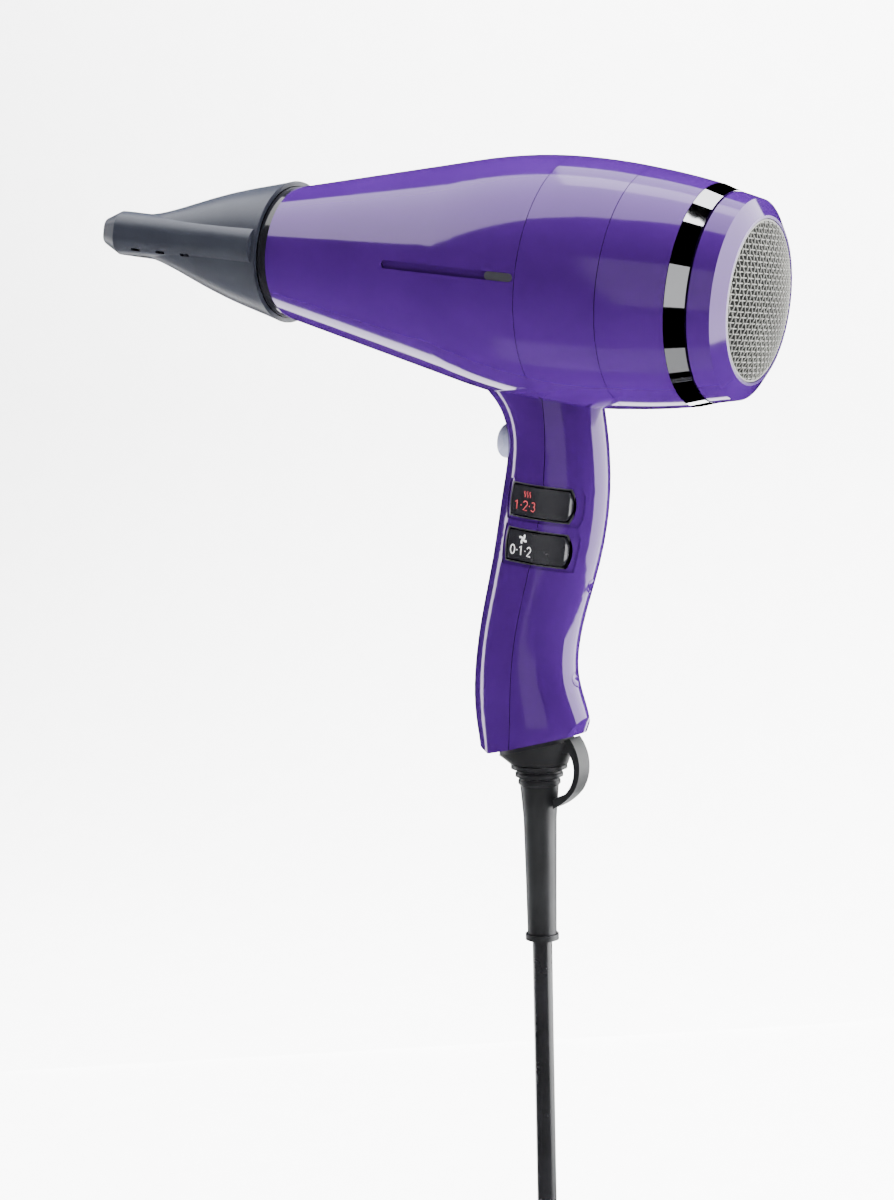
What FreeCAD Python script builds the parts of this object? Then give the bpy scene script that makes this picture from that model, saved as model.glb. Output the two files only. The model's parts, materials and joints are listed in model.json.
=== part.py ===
"""Professional hair dryer with a flat concentrator nozzle, a swivel cord and a coiled, tied lead.

Millimetres, +Z up, origin at the middle of the hand grip, nozzle towards -X.
The dryer is held nose-up by the tilt, so that its cord hangs plumb.
Barrel and handle pieces are drawn in the axis frame: the barrel's axis is X, the widest ring is x = 0,
and the handle runs down -Z. AXIS_FRAME then tilts them about the grip.
Cord pieces are drawn upright, in the part's own frame.
"""
import FreeCAD, Part
import Sketcher
import math
import os
from types import SimpleNamespace

Vector = FreeCAD.Vector

DIMENSIONS = {
    # how it is held
    "tilt": 7.5, "grip_x": 1.5, "grip_z": -105.0,
    # barrel and its seams
    "wall": 2.2, "seam_gap": 0.25, "slide_gap": 0.3,
    "mouth_x": -115.75, "mouth_r": 25.3, "taper_x": -40.0, "taper_r": 40.3, "crown_r": 44.5,
    "seam_x": 30.1, "seam_r": 42.6, "front_arc": 198.0, "rear_arc": 259.0,
    "tail_x": 54.1, "tail_r": 38.9, "chrome_x": 61.0, "chrome_r": 36.8,
    "spigot_r": 33.2, "spigot_x": 68.0,
    "bevel_x": 69.3, "bevel_r": 34.9, "rim_x": 72.9, "rim_r": 29.3, "lip_r": 28.3, "dome_x": 78.5,
    "dome_arc": 69.0, "mesh_thick": 0.8,
    # side slots
    "slot_front": -56.7, "slot_rear": -0.6, "slot_half": 1.5, "slot_depth": 1.2, "trim_front": -10.5,
    # nozzle
    "nozzle_x": -119.8, "nozzle_r": 27.0, "nozzle_wall": 1.8, "nozzle_turned": -3.0,
    "flare_x": -135.0, "flare_half_w": 27.6, "flare_half_z": 22.4,
    "shoulder_x": -150.0, "shoulder_half_w": 28.0, "shoulder_half_z": 16.7,
    "throat_x": -167.0, "throat_half_w": 28.5, "throat_half_z": 9.5,
    "duct_half_w": 29.0, "duct_half_z": 7.4, "duct_corner": 6.2,
    "lip_x": -184.0, "lip_half_w": 29.5, "lip_half_z": 8.5, "lip_corner": 6.8,
    "nose_x": -190.5, "nose_half_w": 27.2, "nose_half_z": 5.2, "nose_corner": 3.8,
    "liner_front": -187.6, "liner_half_w": 25.9, "liner_half_z": 4.5, "liner_wall": 1.0,
    "liner_rear": -150.0, "liner_rear_w": 26.6, "liner_rear_z": 5.4,
    "vent_pitch": 11.5, "vent_x": -162.5, "vent_half_x": 2.0, "vent_half_z": 0.5,
    "cuff_r": 25.0, "plug_r": 22.8, "plug_x": -100.5,
    # handle
    "half_width": 15.0, "foot_x": 4.8, "foot_z": -169.4, "foot_slope": 20.6, "foot_r": 18.9,
    "foot_draft": 33.0, "boss_r": 4.2, "screw_r": 1.4, "screw_head_r": 2.6, "screw_tip_x": -12.0,
    # switches and button
    "switch_x": 3.0, "heat_z": -79.3, "speed_z": -95.7, "rocker_pivot_y": -9.0,
    "rocker_half_x": 12.2, "rocker_half_z": 5.3, "rocker_gap": 0.55, "bezel_rim": 0.45,
    "dish_front": 1.0, "dish_rear": 3.0, "dish_side": 1.0, "dish_depth": 0.5,
    "pin_r": 1.0, "pin_gap": 0.05,
    "button_z": -60.0, "button_r": 6.4, "button_tip": -21.3, "button_back": -11.2,
    # heater, motor and fan
    "guard_x": -98.0, "guard_r": 25.6, "guard_thick": 1.8, "heater_rear": -34.0, "mica_thick": 0.6,
    "heat_wire_r": 0.7,
    "motor_r": 15.0, "motor_front": -6.0, "motor_rear": 36.0, "shaft_r": 1.6, "shaft_rear": 53.0,
    "mount_front": 4.0, "mount_rear": 30.0, "mount_wall": 1.8,
    "fan_front": 40.0, "fan_rear": 50.0, "fan_r": 32.0, "duct_r": 34.6,
    # cord, sleeve and plug
    "sleeve_x": -4.4, "sleeve_top": -72.3, "sleeve_end": -138.4, "hub_r": 5.0, "hook_width": 8.8,
    "cord_r": 3.7, "coil_x": 9.6, "coil_y": 16.6, "coil_z": -315.0, "coil_r": 52.0, "bend_r": 33.0,
    "tail_length": 62.0, "plug_length": 46.0, "pin_length": 19.0, "contact_r": 2.4,
    "contact_pitch": 19.0,
}

# Handle outline: level, front edge and rear edge of each section, from inside the barrel to the foot.
SECTIONS = {
    "root": (-30.0, -37.0, 16.5), "neck": (-45.0, -25.2, 17.6), "throat": (-53.0, -19.6, 19.6),
    "grip": (-76.0, -17.9, 23.0), "waist": (-103.0, -19.5, 21.2), "palm": (-131.0, -22.1, 16.9),
    "swell": (-144.0, -22.4, 18.4), "heel": (-157.0, -21.5, 24.0), "hem": (-166.0, -19.4, 23.2),
    "foot": (-182.0, -16.5, 21.5),
}
# The handle's parting line below the barrel, as x and z of its through points.
PARTING = [(0.0, -42.0), (3.9, -66.0), (2.3, -100.0), (-1.4, -134.0), (0.0, -160.0), (2.0, -190.0)]

# The two handle screws: level, where the boss starts, and where the seat under the head lies.
SCREWS = [(-108.0, -18.4, 16.0), (-143.2, -21.2, 13.4)]

doc = FreeCAD.newDocument("HairDryer")
sheet = doc.addObject("Spreadsheet::Sheet", "Dims")
nodes = []


class Size:
    """A length that knows its value now and the sheet expression that drives it."""

    def __init__(self, value, text):
        self.value = value
        self.text = text

    def __add__(self, other):
        other = as_size(other)
        return Size(self.value + other.value, f"({self.text} + {other.text})")

    def __sub__(self, other):
        other = as_size(other)
        return Size(self.value - other.value, f"({self.text} - {other.text})")

    def __mul__(self, factor):
        return Size(self.value * factor, f"({self.text} * {factor})")

    __rmul__ = __mul__

    def __neg__(self):
        return self * -1

    def __radd__(self, other):
        return self + other

    def __rsub__(self, other):
        return as_size(other) - self


def as_size(number):
    return number if isinstance(number, Size) else Size(float(number), f"({float(number)})")


def fill_sheet():
    cells = dict(DIMENSIONS)
    for name, (level, front, rear) in SECTIONS.items():
        cells[name + "_level"] = level
        cells[name + "_front"] = front
        cells[name + "_rear"] = rear
    for row, (name, value) in enumerate(cells.items(), start=1):
        sheet.set(f"A{row}", name)
        sheet.set(f"B{row}", str(value))
        sheet.setAlias(f"B{row}", name)
    doc.recompute()
    return SimpleNamespace(**{name: Size(value, "Dims." + name) for name, value in cells.items()})


D = fill_sheet()


def axis_frame():
    turn = FreeCAD.Rotation(Vector(0, 1, 0), DIMENSIONS["tilt"])
    grip = Vector(DIMENSIONS["grip_x"], 0, DIMENSIONS["grip_z"])
    return FreeCAD.Placement(-turn.multVec(grip), turn)


AXIS_FRAME = axis_frame()
UPRIGHT = FreeCAD.Placement()


def node(obj, label, frame=AXIS_FRAME):
    """Name a finished sub-part, place it and keep it for export.

    A bare primitive's place is bound to the sheet, so a compound carries it.
    """
    if obj.TypeId in ("Part::Box", "Part::Cylinder"):
        carrier = doc.addObject("Part::Compound", obj.Name + "_placed")
        carrier.Links = [obj]
        obj = carrier
    obj.Label = label
    obj.Placement = frame.multiply(obj.Placement)
    nodes.append(obj)
    return obj


def bind(obj, path, length):
    obj.setExpression(path, as_size(length).text)


# ---------------------------------------------------------------- primitives and booleans

def box(name, low, high):
    """A box between two corners."""
    block = doc.addObject("Part::Box", name)
    for side, start, end in zip(("Length", "Width", "Height"), low, high):
        bind(block, side, as_size(end) - start)
    for letter, start in zip("xyz", low):
        bind(block, f"Placement.Base.{letter}", start)
    return block


TURNS = {"X": FreeCAD.Rotation(Vector(0, 1, 0), 90), "Y": FreeCAD.Rotation(Vector(1, 0, 0), -90),
         "Z": FreeCAD.Rotation()}


def rod(name, start, axis, length, radius):
    """A cylinder from start along +X, +Y or +Z."""
    cylinder = doc.addObject("Part::Cylinder", name)
    cylinder.Placement = FreeCAD.Placement(Vector(), TURNS[axis])
    bind(cylinder, "Radius", radius)
    bind(cylinder, "Height", length)
    for letter, value in zip("xyz", start):
        bind(cylinder, f"Placement.Base.{letter}", value)
    return cylinder


def fuse(name, *parts):
    union = doc.addObject("Part::MultiFuse", name)
    union.Shapes = list(parts)
    return union


def cut(name, base, *tools):
    result = doc.addObject("Part::Cut", name)
    result.Base = base
    result.Tool = tools[0] if len(tools) == 1 else fuse(name + "_tools", *tools)
    return result


def common(name, first, second):
    overlap = doc.addObject("Part::Common", name)
    overlap.Base = first
    overlap.Tool = second
    return overlap


def ellipse(name, x, y, z, half_x, half_y, slope=0.0):
    """A section across Z, wider along X, tipped up towards +X by slope degrees."""
    ring = doc.addObject("Part::Ellipse", name)
    ring.Placement = FreeCAD.Placement(Vector(), FreeCAD.Rotation(Vector(0, 1, 0), -slope))
    bind(ring, "MajorRadius", half_x)
    bind(ring, "MinorRadius", half_y)
    for letter, value in zip("xyz", (x, y, z)):
        bind(ring, f"Placement.Base.{letter}", value)
    return ring


def loft(name, sections, ruled=False):
    skin = doc.addObject("Part::Loft", name)
    skin.Sections = sections
    skin.Solid = True
    skin.Ruled = ruled
    return skin


# ---------------------------------------------------------------- sketched bodies

def arc_between(start, end, radius):
    """An arc whose centre lies to the right of travel when radius is positive."""
    chord = end - start
    half = chord.Length / 2
    reach = math.sqrt(radius * radius - half * half)
    left = Vector(-chord.y, chord.x, 0).normalize()
    bow = left * math.copysign(abs(radius) - reach, radius)
    return Part.Arc(start, start + chord * 0.5 + bow, end)


def draw(sketch, outline):
    """Close an outline of (x, y) or (x, y, radius of the arc that leads here), bound to the sheet."""
    points = [Vector(as_size(p[0]).value, as_size(p[1]).value, 0) for p in outline]
    edges = []
    for index, corner in enumerate(outline):
        start, end = points[index - 1], points[index]
        if len(corner) == 3:
            edges.append(sketch.addGeometry(arc_between(start, end, as_size(corner[2]).value)))
        else:
            edges.append(sketch.addGeometry(Part.LineSegment(start, end)))

    def end_at(edge, point):
        return 1 if sketch.getPoint(edge, 1).distanceToPoint(point) < 1e-6 else 2

    for index, corner in enumerate(outline):
        edge, after = edges[index], edges[(index + 1) % len(edges)]
        here = (edge, end_at(edge, points[index]))
        there = (after, end_at(after, points[index]))
        sketch.addConstraint(Sketcher.Constraint("Coincident", *here, *there))
        for kind, length in (("DistanceX", corner[0]), ("DistanceY", corner[1])):
            number = sketch.addConstraint(
                Sketcher.Constraint(kind, -1, 1, *here, as_size(length).value))
            sketch.setExpression(f"Constraints[{number}]", as_size(length).text)
        if len(corner) == 3:
            radius = as_size(corner[2])
            number = sketch.addConstraint(Sketcher.Constraint("Radius", edge, abs(radius.value)))
            sketch.setExpression(f"Constraints[{number}]", f"abs({radius.text})")


def sketch_on(body, plane, name, outline):
    sketch = body.newObject("Sketcher::SketchObject", name)
    support = [item for item in body.Origin.OriginFeatures if item.Role == plane][0]
    sketch.AttachmentSupport = (support, [""])
    sketch.MapMode = "FlatFace"
    draw(sketch, outline)
    return sketch


def turned(name, outline, about="H_Axis"):
    """A body turned about X (H_Axis, outline in x and radius) or Z (V_Axis, radius and z)."""
    body = doc.addObject("PartDesign::Body", name)
    sketch = sketch_on(body, "XZ_Plane", name + "_profile", outline)
    turn = body.newObject("PartDesign::Revolution", name + "_turn")
    turn.Profile = sketch
    turn.ReferenceAxis = (sketch, [about])
    turn.Angle = 360
    body.Tip = turn
    return body


def padded(name, plane, outline, thickness):
    """A body padded both ways from one of its origin planes."""
    body = doc.addObject("PartDesign::Body", name)
    sketch = sketch_on(body, plane, name + "_profile", outline)
    pad = body.newObject("PartDesign::Pad", name + "_pad")
    pad.Profile = sketch
    pad.Midplane = True
    bind(pad, "Length", thickness)
    body.Tip = pad
    return body


# ---------------------------------------------------------------- shells

def handle_loft(name, inset):
    """The handle's skin, or the space inside it when inset is the wall."""
    rings = []
    for section in SECTIONS:
        level, front, rear = (getattr(D, f"{section}_{part}") for part in ("level", "front", "rear"))
        rings.append(ellipse(f"{name}_{section}", (rear + front) * 0.5, 0, level,
                             (rear - front) * 0.5 - inset, D.half_width - inset))
    return loft(name, rings)


def barrel_core(name, inset, end_x, overrun=0.0):
    """The barrel's front and middle as one turned solid, drawn in by inset."""
    front = D.mouth_x - overrun
    return turned(name, [
        (front, 0), (front, D.mouth_r - inset), (D.taper_x, D.taper_r - inset),
        (0, D.crown_r - inset, D.front_arc - inset), (end_x, D.seam_r - inset, D.rear_arc - inset),
        (end_x, 0)])


def foot_cone():
    """The slanted foot plane and the drafted bevel round it."""
    cone = doc.addObject("Part::Cone", "foot_cone")
    height = 220.0
    spread = height * math.tan(math.radians(DIMENSIONS["foot_draft"]))
    cone.Placement = FreeCAD.Placement(Vector(), FreeCAD.Rotation(Vector(0, 1, 0),
                                                                 -DIMENSIONS["foot_slope"]))
    bind(cone, "Height", height)
    bind(cone, "Radius1", D.foot_r)
    bind(cone, "Radius2", D.foot_r + spread)
    bind(cone, "Placement.Base.x", D.foot_x)
    bind(cone, "Placement.Base.z", D.foot_z)
    return cone


def parting_block(name, shift):
    """Everything in front of the shells' parting line."""
    sketch = doc.addObject("Sketcher::SketchObject", name + "_line")
    sketch.Placement = FreeCAD.Placement(Vector(), FreeCAD.Rotation(Vector(1, 0, 0), 90))
    far, top = -140.0, 60.0
    line = [Vector(x, z, 0) for x, z in PARTING]
    curve = Part.BSplineCurve()
    curve.interpolate(line)
    corners = [line[-1], Vector(far, line[-1].y, 0), Vector(far, top, 0), Vector(0, top, 0), line[0]]
    sketch.addGeometry(curve)
    for start, end in zip(corners, corners[1:]):
        sketch.addGeometry(Part.LineSegment(start, end))
    block = doc.addObject("Part::Extrusion", name)
    block.Base = sketch
    block.DirMode = "Custom"
    block.Dir = Vector(0, 1, 0)
    block.LengthFwd = 120
    block.Symmetric = True
    block.Solid = True
    bind(block, "Placement.Base.x", shift)
    return block


def slot_prism(name, front, rear):
    """A round-ended bar through both sides of the barrel."""
    middle = box(name + "_bar", (front, -60, -D.slot_half), (rear, 60, D.slot_half))
    ends = [rod(f"{name}_end_{i}", (x, -60, 0), "Y", 120, D.slot_half)
            for i, x in enumerate((front, rear))]
    return fuse(name, middle, *ends)


def side_slots():
    """The groove along each side of the barrel, and the insert at its rear end."""
    floor = barrel_core("slot_floor", D.slot_depth, D.seam_x)
    groove = cut("slot_grooves", slot_prism("slot", D.slot_front, D.slot_rear - D.slot_half), floor)
    trim_floor = barrel_core("trim_floor", D.slot_depth, D.seam_x)
    trim_skin = barrel_core("trim_skin", D.seam_gap, D.seam_x)
    bar = slot_prism("trim", D.trim_front, D.slot_rear - D.slot_half)
    trim = cut("side_slot_trims", common("trim_bar", bar, trim_skin), trim_floor)
    return groove, trim


def switch_prism(name, level, spread_front, spread_rear, spread_side, y_near=-20.0, y_far=-8.0):
    """A bar across the handle's near side with a switch's outline, grown by the spreads.

    Its front end bows out a little, and its rear end more.
    """
    half_z = D.rocker_half_z + spread_side
    front, rear = -(D.rocker_half_x + spread_front), D.rocker_half_x + spread_rear
    bow_front, bow_rear = 0.7, 1.7
    prism = padded(name, "XZ_Plane", [
        (front + bow_front, half_z, bow_radius(half_z, bow_front)), (rear - bow_rear, half_z),
        (rear - bow_rear, -half_z, bow_radius(half_z, bow_rear)), (front + bow_front, -half_z)],
        y_far - y_near)
    prism.Placement = FreeCAD.Placement(Vector(D.switch_x.value, (y_near + y_far) / 2, level.value),
                                        FreeCAD.Rotation())
    return prism


def bow_radius(half, bow):
    """The radius of an arc that spans 2 * half and stands out by bow."""
    half = as_size(half)
    return Size((half.value ** 2 + bow ** 2) / (2 * bow), f"(({half.text})^2 + {bow ** 2}) / {2 * bow}")


def switch_cuts(name, level):
    """The pocket for a switch's bezel, and the shallow dish round it that follows the handle."""
    rim = D.rocker_gap + D.bezel_rim + 0.05
    pocket = switch_prism(name + "_pocket", level, rim, rim, rim)
    dish = cut(name + "_dish", switch_prism(name + "_dish_bar", level, rim + D.dish_front,
                                            rim + D.dish_rear, rim + D.dish_side, y_far=-9.0),
               handle_loft(name + "_dish_floor", D.dish_depth))
    return [pocket, dish]


def screw_seats():
    """The bosses across the handle and the bores for the screws that close it from behind."""
    into_rear_wall = 2.9
    bosses, bores = [], []
    for index, (level, front, head) in enumerate(SCREWS):
        bosses.append(rod(f"boss_{index}", (front, 0, level), "X", head + into_rear_wall - front,
                          D.boss_r))
        bores.append(rod(f"thread_{index}", (D.screw_tip_x - 2, 0, level), "X",
                         head + 2 - D.screw_tip_x, D.screw_r))
        bores.append(rod(f"counterbore_{index}", (head, 0, level), "X", 20, D.screw_head_r + 0.2))
    return fuse("screw_bosses", *bosses), fuse("screw_bores", *bores)


def shells():
    handle = common("handle_skin", handle_loft("handle_outer", 0), foot_cone())
    skin = fuse("dryer_skin", barrel_core("barrel_outer", 0, D.seam_x), handle)
    hollow = fuse("dryer_hollow", barrel_core("barrel_inner", D.wall, D.seam_x + 1, overrun=1.0),
                  handle_loft("handle_inner", D.wall))
    groove, trim = side_slots()
    button_hole = rod("button_hole", (-40, 0, D.button_z), "X", 30, D.button_r + D.slide_gap)
    bosses, screw_holes = screw_seats()
    walls = fuse("dryer_walls", cut("dryer_case", skin, hollow), bosses)
    shell = cut("dryer_shell", walls, groove, button_hole, screw_holes,
                *switch_cuts("heat", D.heat_z), *switch_cuts("speed", D.speed_z))
    node(common("front", shell, parting_block("front_block", 0)), "front_shell")
    node(cut("rear", shell, parting_block("rear_block", D.seam_gap)), "rear_shell")
    node(trim, "side_slot_trim")


def tail():
    """The barrel's tail, the chrome ring and the filter that slides off it."""
    start = D.seam_x + D.seam_gap
    step = D.spigot_r
    node(turned("tail", [
        (start, D.seam_r - D.wall), (start, D.seam_r - 0.05), (D.tail_x, D.tail_r, D.rear_arc),
        (D.tail_x, step), (D.spigot_x, step), (D.spigot_x, step - D.wall),
        (D.tail_x - 3, step - D.wall), (D.tail_x - 3, D.tail_r - D.wall)]), "tail_shell")
    node(turned("chrome", [
        (D.tail_x + D.seam_gap, step + 0.05), (D.tail_x + D.seam_gap, D.tail_r), (D.chrome_x, D.chrome_r),
        (D.chrome_x, step + 0.05)]), "chrome_ring")
    bore = step + D.slide_gap
    front = D.chrome_x + 0.8
    node(turned("cap", [
        (front, bore), (front, D.chrome_r - 0.2), (D.bevel_x, D.bevel_r), (D.rim_x, D.rim_r),
        (D.rim_x, D.lip_r), (D.rim_x - 2.2, D.lip_r), (D.rim_x - 2.2, D.lip_r + 3),
        (D.spigot_x + D.slide_gap, D.lip_r + 3), (D.spigot_x + D.slide_gap, bore)]), "filter_cap")
    flange = D.rim_x - 2.3
    thick, flat = D.mesh_thick, 0.6
    node(turned("mesh", [
        (flange - 1, D.lip_r - 2), (flange - 1, D.lip_r + 2.6), (flange, D.lip_r + 2.6),
        (flange, D.lip_r - 0.4), (D.rim_x - 0.4, D.lip_r - 0.4), (D.dome_x, flat, D.dome_arc),
        (D.dome_x, 0), (D.dome_x - thick, 0), (D.dome_x - thick, flat),
        (D.rim_x - thick, D.lip_r - 2, -(D.dome_arc - thick))]), "intake_mesh")


# ---------------------------------------------------------------- nozzle

ACROSS_AXIS = FreeCAD.Placement(Vector(), FreeCAD.Rotation(Vector(0, 1, 0), Vector(0, 0, 1),
                                                          Vector(1, 0, 0), "XYZ"))


def rounded(name, x, half_y, half_z, corner):
    """A rounded rectangle across the barrel's axis at x, half_y wide and half_z high each way."""
    sketch = doc.addObject("Sketcher::SketchObject", name)
    sketch.Placement = ACROSS_AXIS
    flat_y, flat_z = half_y - corner, half_z - corner
    draw(sketch, [
        (half_y, flat_z), (flat_y, half_z, -corner), (-flat_y, half_z), (-half_y, flat_z, -corner),
        (-half_y, -flat_z), (-flat_y, -half_z, -corner), (flat_y, -half_z), (half_y, -flat_z, -corner)])
    bind(sketch, "Placement.Base.x", x)
    return sketch


def nozzle_form(name, inset, nose_x, rear):
    """The cone that flattens from the round cuff, joined with the wide flat duct and its nose."""
    round_r = D.nozzle_r - inset
    cone = loft(name + "_cone", [
        rounded(name + "_cuff", rear, round_r, round_r, round_r - 0.2),
        rounded(name + "_flare", D.flare_x, D.flare_half_w - inset, D.flare_half_z - inset,
                D.flare_half_z - inset - 0.5),
        rounded(name + "_shoulder", D.shoulder_x, D.shoulder_half_w - inset, D.shoulder_half_z - inset,
                D.shoulder_half_z - inset - 0.8),
        rounded(name + "_throat", D.throat_x, D.throat_half_w - inset, D.throat_half_z - inset,
                D.throat_half_z - inset - 0.8),
        rounded(name + "_merge", D.lip_x + 4, D.duct_half_w - inset, D.lip_half_z - inset,
                D.lip_corner - inset)])
    duct = loft(name + "_duct", [
        rounded(name + "_duct_rear", D.nozzle_x - 1.5 - inset, D.duct_half_w - inset,
                D.duct_half_z - inset, D.duct_corner - inset),
        rounded(name + "_duct_lip", D.lip_x, D.lip_half_w - inset, D.lip_half_z - inset,
                D.lip_corner - inset),
        rounded(name + "_duct_nose", nose_x, D.nose_half_w - inset, D.nose_half_z - inset,
                D.nose_corner - inset)], ruled=True)
    return fuse(name, cone, duct)


def nozzle_vents():
    """Short slits in the duct's lower shoulders that let cool air in between the two walls."""
    side, level, count = 40.0, -6.1, 3
    slits = []
    for index in range(count):
        x = D.vent_x + D.vent_pitch * (index - 1)
        slits.append(box(f"vent_{index}", (x - D.vent_half_x, -side, level - D.vent_half_z),
                         (x + D.vent_half_x, side, level + D.vent_half_z)))
    middle = box("vent_keep", (D.lip_x, -20, -9), (D.shoulder_x, 20, -3))
    return cut("vents", fuse("vent_bars", *slits), middle)


def nozzle():
    turned_frame = AXIS_FRAME.multiply(
        FreeCAD.Placement(Vector(), FreeCAD.Rotation(Vector(1, 0, 0), DIMENSIONS["nozzle_turned"])))
    outer = nozzle_form("nozzle_outer", as_size(0), D.nose_x, D.nozzle_x)
    inner = nozzle_form("nozzle_inner", D.nozzle_wall, D.nose_x - 0.1, D.nozzle_x + 0.1)
    collar = rod("nozzle_bore", (D.nozzle_x - 14, 0, 0), "X", 20, D.plug_r + D.slide_gap)
    node(cut("nozzle_wall_body", outer, inner, collar, nozzle_vents()), "nozzle_body", turned_frame)

    skin = loft("liner_skin", [
        rounded("liner_mouth", D.liner_front, D.liner_half_w, D.liner_half_z, 3.2),
        rounded("liner_end", D.liner_rear, D.liner_rear_w, D.liner_rear_z, 3.8)], ruled=True)
    space = loft("liner_space", [
        rounded("liner_mouth_bore", D.liner_front - 0.1, D.liner_half_w - D.liner_wall,
                D.liner_half_z - D.liner_wall, 2.2),
        rounded("liner_end_bore", D.liner_rear + 0.1, D.liner_rear_w - D.liner_wall,
                D.liner_rear_z - D.liner_wall, 2.8)], ruled=True)
    node(cut("liner", skin, space), "nozzle_liner", turned_frame)

    bore = D.plug_r - D.wall
    front, lip = D.nozzle_x - 5, D.mouth_x - 0.2
    node(turned("cuff", [
        (front, bore), (front, D.plug_r), (D.nozzle_x + D.slide_gap, D.plug_r),
        (D.nozzle_x + D.slide_gap, D.cuff_r), (lip, D.cuff_r), (lip, D.plug_r),
        (D.plug_x, D.plug_r), (D.plug_x, bore)]), "nozzle_ring")


# ---------------------------------------------------------------- heater, motor and fan

def heater():
    """Outlet guard, mica tube, crossed boards, wound coils and the two heat cut-outs."""
    front, rear = D.guard_x, D.heater_rear
    inside_front, slope = 26.0, (D.taper_r - D.mouth_r).value / (D.taper_x - D.mouth_x).value

    def bore_at(x):
        """Just inside the barrel's bore at x."""
        return (x - front) * slope + inside_front

    guard_x, rim_width = front - D.guard_thick, 2.5
    guard_bore = D.guard_r - rim_width
    ring = turned("guard_ring", [(guard_x, guard_bore), (guard_x, D.guard_r), (front, D.guard_r),
                                 (front, guard_bore)])
    bar_pitch, bar_half, count = 7.5, 0.6, 5
    bars = []
    for index in range(count):
        z = bar_pitch * (index - count // 2)
        bars.append(box(f"guard_bar_{index}", (guard_x, -D.guard_r, z - bar_half),
                        (front, D.guard_r, z + bar_half)))
    reach = rod("guard_reach", (guard_x, 0, 0), "X", D.guard_thick, guard_bore + 0.6)
    node(fuse("guard", ring, common("guard_bars", fuse("guard_grid", *bars), reach)), "outlet_grille")

    start, end, clear = front + 0.5, rear, 0.8
    thick = D.mica_thick
    node(turned("mica", [
        (start, bore_at(start) - clear - thick), (start, bore_at(start) - clear),
        (end, bore_at(end) - clear), (end, bore_at(end) - clear - thick)]), "mica_tube")

    start, end = start + 3, end - 2
    middle = (start + end) * 0.5
    top, low = bore_at(start) - 4.6, bore_at(end) - 4.6
    board = [(start, -top), (start, top), (end, low), (end, -low)]
    half_slot = 0.45
    for label, plane, slot_low, slot_high in (
            ("upright", "XZ_Plane", (start - 1, -half_slot, -half_slot), (middle, half_slot, half_slot)),
            ("level", "XY_Plane", (middle, -half_slot, -half_slot), (end + 1, half_slot, half_slot))):
        sheet_of_mica = padded(f"{label}_board", plane, board, 0.8)
        slot = box(f"{label}_slot", slot_low, slot_high)
        node(cut(f"{label}_slotted", sheet_of_mica, slot), f"heater_board_{label}")

    turns, margin = 7, 4
    pitch = (end - start - 2 * margin) * (1 / (turns - 1))
    wires = []
    for index in range(turns):
        x = start + margin + pitch * index
        wire = doc.addObject("Part::Torus", f"heat_wire_{index}")
        wire.Placement = FreeCAD.Placement(Vector(), TURNS["X"])
        bind(wire, "Radius1", bore_at(x) - clear - thick - D.heat_wire_r * 2.8)
        bind(wire, "Radius2", D.heat_wire_r)
        bind(wire, "Placement.Base.x", x)
        wires.append(wire)
    node(fuse("heat_wires", *wires), "heating_coils")

    board_face = 0.5
    node(rod("cutout_can", (-60, 9, board_face), "Z", 5, 5), "thermostat")
    node(rod("fuse_can", (-66, -12, board_face + 1.6), "X", 12, 1.6), "thermal_fuse")


def fan():
    """Motor in its vaned mount, and the shaft and fan that turn in it."""
    edge, bearing = 2, 16
    shaft_bore = D.shaft_r + D.pin_gap
    node(turned("can", [
        (D.motor_front, 0), (D.motor_front, D.motor_r - edge), (D.motor_front + edge, D.motor_r),
        (D.motor_rear - edge, D.motor_r), (D.motor_rear, D.motor_r - edge), (D.motor_rear, shaft_bore),
        (D.motor_rear - bearing, shaft_bore), (D.motor_rear - bearing, 0)]), "motor_can")
    shaft_front = D.motor_rear - bearing + 0.5
    node(rod("shaft", (shaft_front, 0, 0), "X", D.shaft_rear - shaft_front, D.shaft_r), "motor_shaft")

    hoop = D.motor_r + D.mount_wall
    mount = turned("mount", [(D.mount_front, D.motor_r), (D.mount_front, hoop), (D.mount_rear, hoop),
                             (D.mount_rear, D.motor_r)])
    vane_front, vane_rear = D.mount_front + 4, D.mount_rear - 4
    vane = sketch_on(mount, "XZ_Plane", "vane_outline", [
        (vane_front, D.motor_r + 1), (vane_front, D.duct_r - 0.1), (vane_rear, D.duct_r - 0.1),
        (vane_rear, D.motor_r + 1)])
    pattern_of_pads(mount, vane, "vane", thickness=1.6, count=7)
    node(mount, "motor_mount")

    duct_rear = D.shaft_rear - 3
    node(turned("duct", [
        (vane_front, D.duct_r + 0.4), (vane_front, D.duct_r + 1.6), (duct_rear, D.duct_r + 1.2),
        (duct_rear, D.duct_r)]), "fan_duct")

    wheel = turned("wheel", [
        (D.fan_front - 1, D.shaft_r), (D.fan_front - 1, 12), (D.fan_rear + 1.5, 10),
        (D.fan_rear + 1.5, D.shaft_r)])
    blade = sketch_on(wheel, "XZ_Plane", "blade_outline", [
        (D.fan_front, 11), (D.fan_front, D.fan_r), (D.fan_rear, D.fan_r), (D.fan_rear, 9.5)])
    pattern_of_pads(wheel, blade, "blade", thickness=1.4, count=9)
    node(wheel, "impeller")


def pattern_of_pads(body, sketch, name, thickness, count):
    """Pad the outline both ways and repeat it round X."""
    pad = body.newObject("PartDesign::Pad", name + "_pad")
    pad.Profile = sketch
    pad.Midplane = True
    bind(pad, "Length", thickness)
    ring = body.newObject("PartDesign::PolarPattern", name + "_ring")
    ring.Originals = [pad]
    axis = [item for item in body.Origin.OriginFeatures if item.Role == "X_Axis"][0]
    ring.Axis = (axis, [""])
    ring.Angle = 360
    ring.Occurrences = count
    body.Tip = ring


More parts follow.
